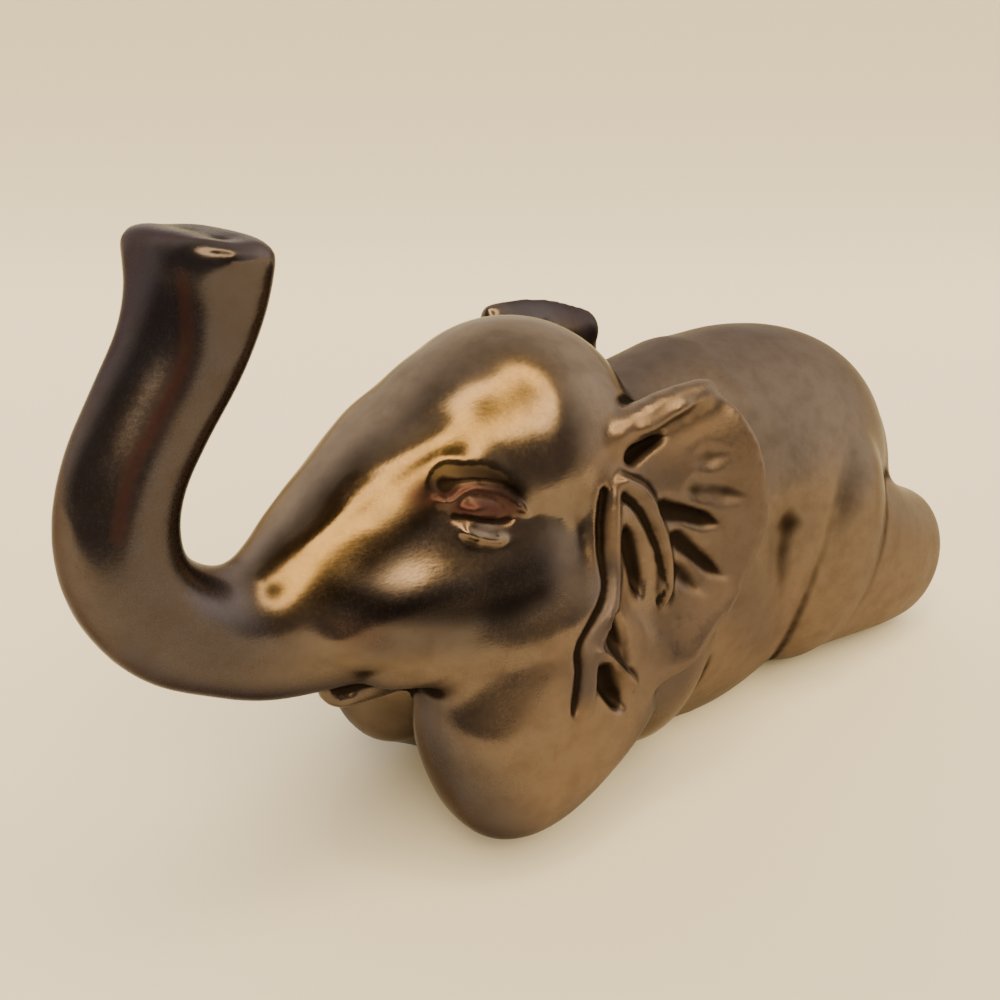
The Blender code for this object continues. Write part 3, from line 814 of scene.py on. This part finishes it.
# Painted shade: hollows, groove floors and the painted shade patches turn near black.
shaded_hollows = window(hollow, *SHADED_HOLLOW, 0.0, HOLLOW_SHADE_STRENGTH)
painted_shade = sums("MAXIMUM", shaded_hollows, painted("painted_shade"))
colour = blended(painted_shade, colour, PAINTED_SHADE)
edge = blended(painted_shade, edge, PAINTED_SHADE_EDGE_TINT)
rubbed = sums("MULTIPLY", window(hollow, *RUBBED_HOLLOW), window(mottle, 0.3, 0.6, 0.35, 1.0))
colour = blended(sums("MULTIPLY", rubbed, RUBBED_SHARE), colour, RUBBED)
colour = blended(window(grit, 0.62, 0.72, 0.0, 0.3), colour, SPECKLED)
colour = blended(window(fine, 0.68, 0.78, 0.0, 0.2), colour, RUBBED)

facing = node("ShaderNodeNewGeometry").outputs["Normal"]
split = node("ShaderNodeSeparateXYZ")
feed(split.inputs[0], facing)
height = node("ShaderNodeSeparateXYZ")
feed(height.inputs[0], place)
low_down = window(height.outputs["Z"], *BARE_HEIGHTS)
bare = sums("MULTIPLY", low_down, window(split.outputs["Z"], -0.8, -0.95))
colour = blended(bare, colour, BARE_CLAY)
feed(surface.inputs["Base Color"], colour)

metal = sums("SUBTRACT", LUSTRE_METAL, sums("MULTIPLY", copper, COPPER_METAL_LOSS))
metal = sums("MULTIPLY", metal, window(red, 0.2, 0.8, 1.0, 0.85))
feed(surface.inputs["Metallic"], sums("MULTIPLY", metal, sums("SUBTRACT", 1.0, bare)))
rough = window(broad, 0.3, 0.7, *GLAZE_ROUGHNESS)
rougher_spots = (
    sums("MULTIPLY", copper, COPPER_ROUGHNESS),
    window(fine, 0.4, 0.7, 0.0, FINE_ROUGHNESS),
    window(hollow, 0.15, 0.8, 0.0, HOLLOW_ROUGHNESS),
    sums("MULTIPLY", red, RED_ROUGHNESS),
    sums("MULTIPLY", smoke_and_shade, SMOKE_AND_SHADE_ROUGHNESS),
    window(height.outputs["X"], *BODY_FADE, 0.0, BODY_ROUGHNESS),
    sums("MULTIPLY", bare, BARE_ROUGHNESS),
)
for rougher in rougher_spots:
    rough = sums("ADD", rough, rougher)
feed(surface.inputs["Roughness"], rough)
feed(surface.inputs["Specular Tint"], edge)

stretched = node("ShaderNodeMapping")
feed(stretched.inputs["Vector"], place)
stretched.inputs["Rotation"].default_value = WIPED_TURN
stretched.inputs["Scale"].default_value = WIPED_STRETCH
wiped = noise(stretched.outputs["Vector"], WIPED_SCALE, 2, 0.5)
relief = sums("ADD", sums("MULTIPLY", fine, 0.5), sums("MULTIPLY", wiped, 0.5))
bump = node("ShaderNodeBump")
bump.inputs["Strength"].default_value = BUMP_STRENGTH
bump.inputs["Distance"].default_value = BUMP_DEPTH
feed(bump.inputs["Height"], relief)
feed(surface.inputs["Normal"], bump.outputs["Normal"])

figure.data.materials.clear()
figure.data.materials.append(glaze)
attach(figure, "root")
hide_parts("elephant")

# The table and sweep behind it: plain pale card, curved up far behind the figure, painted darker towards
# the back as painted shade where the light falls off.
CARD_COLOUR = (0.76, 0.745, 0.68, 1)
FAR_CARD_SHADE = (0.50, 0.49, 0.45, 1)
CARD_START = -0.36
CARD_REACH = 1.6
CARD_STEPS = 24
CARD_FADE = (0.5, 1.5)
CARD_ROUGHNESS = 0.8
CARD_SHINE = 0.2
SWEEP_START = 0.9
SWEEP_RISE = 0.35
VIEW_YAW = math.radians(43.13)
VIEW_PITCH = math.radians(22)
away = Vector((math.sin(VIEW_YAW), math.cos(VIEW_YAW), 0))
across_view = Vector((math.cos(VIEW_YAW), -math.sin(VIEW_YAW), 0))

card = bmesh.new()
rows = []
for i in range(CARD_STEPS + 1):
    back = CARD_START + (CARD_REACH - CARD_START) * i / CARD_STEPS
    rise = SWEEP_RISE * max(0, (back - SWEEP_START) / (CARD_REACH - SWEEP_START)) ** 2
    rows.append([card.verts.new(away * back + across_view * side + Vector((0, 0, rise)))
                 for side in (-CARD_REACH, CARD_REACH)])
for one, two in zip(rows, rows[1:]):
    card.faces.new((one[0], one[1], two[1], two[0]))
table = new_object("table_card", card)
table.data.shade_smooth()
card_material = bpy.data.materials.new("pale_card")
card_material.use_nodes = True
card_surface = card_material.node_tree.nodes["Principled BSDF"]
nodes, links = card_material.node_tree.nodes, card_material.node_tree.links
distance_back = node("ShaderNodeVectorMath", operation="DOT_PRODUCT")
feed(distance_back.inputs[0], node("ShaderNodeTexCoord").outputs["Object"])
distance_back.inputs[1].default_value = away
# Painted shade: the card turns darker the further back it lies.
painted_falloff = window(distance_back.outputs["Value"], *CARD_FADE)
card_colour = blended(painted_falloff, CARD_COLOUR, FAR_CARD_SHADE)
feed(card_surface.inputs["Base Color"], card_colour)
card_surface.inputs["Roughness"].default_value = CARD_ROUGHNESS
card_surface.inputs["Specular IOR Level"].default_value = CARD_SHINE
table.data.materials.append(card_material)

# Light: wide soft window light from high on the near side, with a small dark flag in its
# middle, and a room that is mid-toned behind the figure and dark behind the camera.
LIGHT_TURN = math.radians(-115)
LIGHT_HEIGHT = math.radians(57)
LIGHT_SPREAD = math.radians(68)
LIGHT_POWER = 8.6
LIGHT_COLOUR = (1.0, 0.75, 0.39)
FLAG_DISTANCE = 0.75
FLAG_RADIUS = 0.205
FLAG_SIDES = 48
FLAG_COLOUR = (0.05, 0.045, 0.04, 1)
ROOM_BACK = (2.15, 1.95, 1.62, 1)
ROOM_TOP = (0.95, 0.85, 0.70, 1)
ROOM_DARK = (0.20, 0.17, 0.15, 1)
ROOM_DARK_TURN = math.radians(-145)
ROOM_DARK_FADE = (-0.5, 0.35)
ROOM_TOP_FADE = (0.45, 0.95)
FIGURE_MIDDLE = Vector((0, 0, 0.07))
to_light = Vector((math.cos(LIGHT_HEIGHT) * math.cos(LIGHT_TURN),
                   math.cos(LIGHT_HEIGHT) * math.sin(LIGHT_TURN),
                   math.sin(LIGHT_HEIGHT)))
facing_light = to_light.to_track_quat("Z", "Y")
flag_place = FIGURE_MIDDLE + to_light * FLAG_DISTANCE
lamp = bpy.data.lights.new("window", "SUN")
lamp.angle = LIGHT_SPREAD
lamp.energy = LIGHT_POWER
lamp.color = LIGHT_COLOUR
soft_box = bpy.data.objects.new("window", lamp)
soft_box.location = flag_place
soft_box.rotation_euler = facing_light.to_euler()
bpy.context.scene.collection.objects.link(soft_box)

flag = bmesh.new()
bmesh.ops.create_circle(flag, cap_ends=True, segments=FLAG_SIDES, radius=FLAG_RADIUS)
flag.transform(Matrix.Translation(flag_place) @ facing_light.to_matrix().to_4x4())
flag_card = new_object("dark_flag", flag)
flag_material = bpy.data.materials.new("dark_felt")
flag_material.use_nodes = True
flag_surface = flag_material.node_tree.nodes["Principled BSDF"]
flag_surface.inputs["Base Color"].default_value = FLAG_COLOUR
flag_card.data.materials.append(flag_material)

room = bpy.data.worlds.new("room")
bpy.context.scene.world = room
room.use_nodes = True
nodes, links = room.node_tree.nodes, room.node_tree.links
direction = node("ShaderNodeTexCoord").outputs["Generated"]
dark_side = node("ShaderNodeVectorMath", operation="DOT_PRODUCT")
feed(dark_side.inputs[0], direction)
dark_side.inputs[1].default_value = (math.cos(ROOM_DARK_TURN), math.sin(ROOM_DARK_TURN), 0)
upward = node("ShaderNodeSeparateXYZ")
feed(upward.inputs[0], direction)
room_colour = blended(window(upward.outputs["Z"], *ROOM_TOP_FADE), ROOM_BACK, ROOM_TOP)
room_colour = blended(window(dark_side.outputs["Value"], *ROOM_DARK_FADE), room_colour, ROOM_DARK)
feed(nodes["Background"].inputs["Color"], room_colour)

# The camera, where the photograph was taken: close to the trunk, a little above the figure.
CAMERA_PLACE = (-0.2044, -0.1805, 0.180)
CAMERA_LENS = 38.59
SENSOR_WIDTH = 36
CLIP_START = 0.01
lens = bpy.data.cameras.new("camera")
lens.lens = CAMERA_LENS
lens.sensor_width = SENSOR_WIDTH
lens.clip_start = CLIP_START
camera = bpy.data.objects.new("camera", lens)
look = away * math.cos(VIEW_PITCH) - Vector((0, 0, math.sin(VIEW_PITCH)))
up = away * math.sin(VIEW_PITCH) + Vector((0, 0, math.cos(VIEW_PITCH)))
camera_turn = Matrix((across_view, up, -look)).transposed().to_4x4()
camera.matrix_world = Matrix.Translation(CAMERA_PLACE) @ camera_turn
bpy.context.scene.collection.objects.link(camera)
bpy.context.scene.camera = camera
